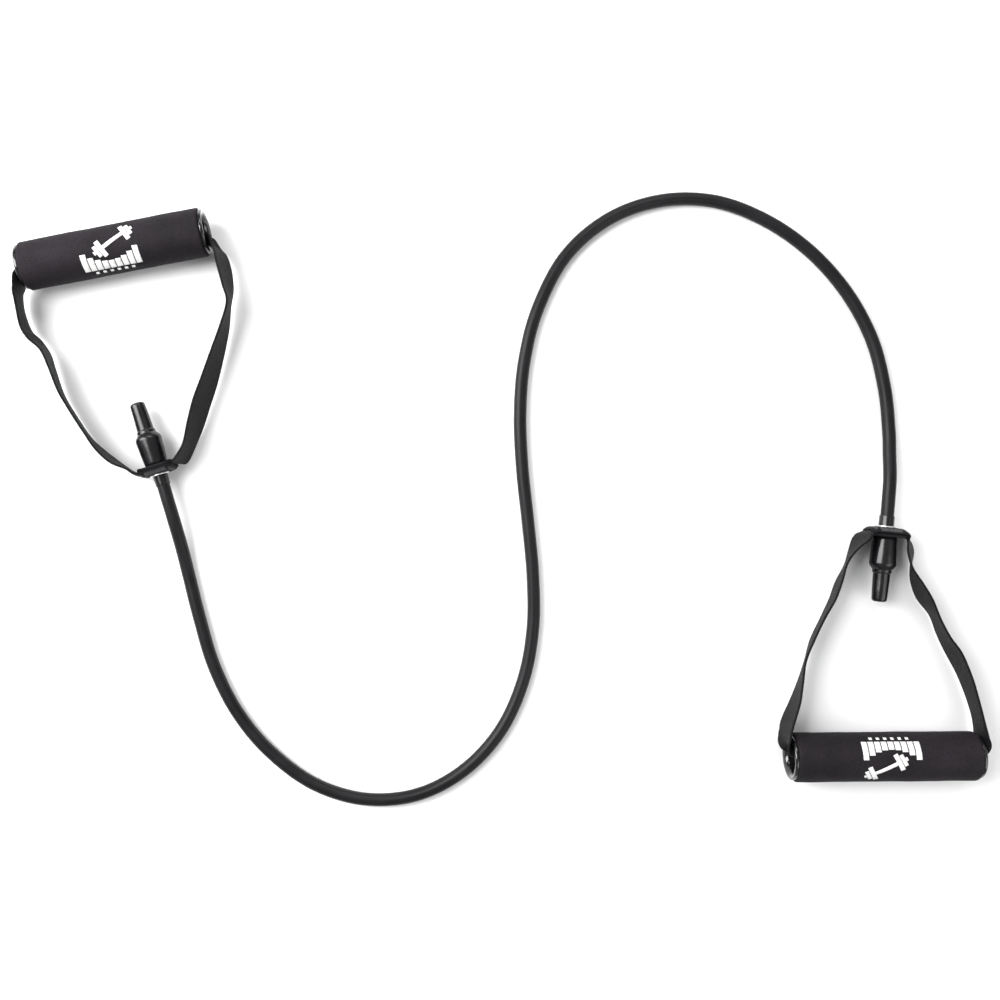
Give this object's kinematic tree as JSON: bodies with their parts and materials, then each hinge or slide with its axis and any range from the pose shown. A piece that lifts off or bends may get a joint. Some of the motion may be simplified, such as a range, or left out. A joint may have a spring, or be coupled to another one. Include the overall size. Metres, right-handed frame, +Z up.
{
  "type": "resistance band with handles",
  "caption": "Hollow rubber exercise tube lying in a loose S, with a foam grip on a webbing loop swivelling on a moulded boot at each end.",
  "frame": {"origin": "centre of the footprint of both handles, on the floor", "axes": "+X from handle A to handle B, +Z up; the band lies on its side on the floor"},
  "size_m": [0.6731, 0.4328, 0.034],
  "materials": {
    "tube_rubber": "satin black natural rubber",
    "boot_vinyl": "glossy dipped vinyl",
    "stopper_plastic": "plain moulded nylon",
    "eyelet_metal": "nickel-plated brass",
    "washer_steel": "zinc-plated steel",
    "webbing": "ribbed black polypropylene webbing",
    "thread": "black bonded thread",
    "core_plastic": "black rigid PVC",
    "cap_plastic": "glossy black plastic",
    "foam": "charcoal closed-cell foam"
  },
  "bodies": {
    "tube": {"tube": "tube_rubber", "stopper_a": "stopper_plastic", "boot_a": "boot_vinyl", "stopper_b": "stopper_plastic", "boot_b": "boot_vinyl"},
    "washer_a": {"washer_a": "washer_steel"},
    "loop_a": {"strap_a": "webbing", "strap_stitching_a": "thread", "eyelet_a": "eyelet_metal", "eyelet_back_a": "eyelet_metal"},
    "grip_a": {"core_a": "core_plastic", "cap_left_a": "cap_plastic", "cap_right_a": "cap_plastic", "foam_a": "foam"},
    "washer_b": {"washer_b": "washer_steel"},
    "loop_b": {"strap_b": "webbing", "strap_stitching_b": "thread", "eyelet_b": "eyelet_metal", "eyelet_back_b": "eyelet_metal"},
    "grip_b": {"core_b": "core_plastic", "cap_left_b": "cap_plastic", "cap_right_b": "cap_plastic", "foam_b": "foam"}
  },
  "joints": [
    {"name": "handle_a_slide", "type": "slide", "parent": "tube", "child": "washer_a", "axis": [0.309, -0.9511, 0], "range_m": [0, 0.006]},
    {"name": "handle_a_swivel", "type": "hinge", "parent": "washer_a", "child": "loop_a", "pos_m": [-0.238, 0.014, 0.0127], "axis": [-0.309, 0.9511, 0], "continuous": true},
    {"name": "grip_a_roll", "type": "hinge", "parent": "loop_a", "child": "grip_a", "pos_m": [-0.26834, 0.17008, 0.017], "axis": [0.9816, 0.1908, 0], "continuous": true},
    {"name": "handle_b_slide", "type": "slide", "parent": "tube", "child": "washer_b", "axis": [0.0958, 0.9954, 0], "range_m": [0, 0.006]},
    {"name": "handle_b_swivel", "type": "hinge", "parent": "washer_b", "child": "loop_b", "pos_m": [0.269, -0.023, 0.0127], "axis": [-0.0958, -0.9954, 0], "continuous": true},
    {"name": "grip_b_roll", "type": "hinge", "parent": "loop_b", "child": "grip_b", "pos_m": [0.26539, -0.18204, 0.017], "axis": [-1, -0.0087, 0], "continuous": true}
  ]
}
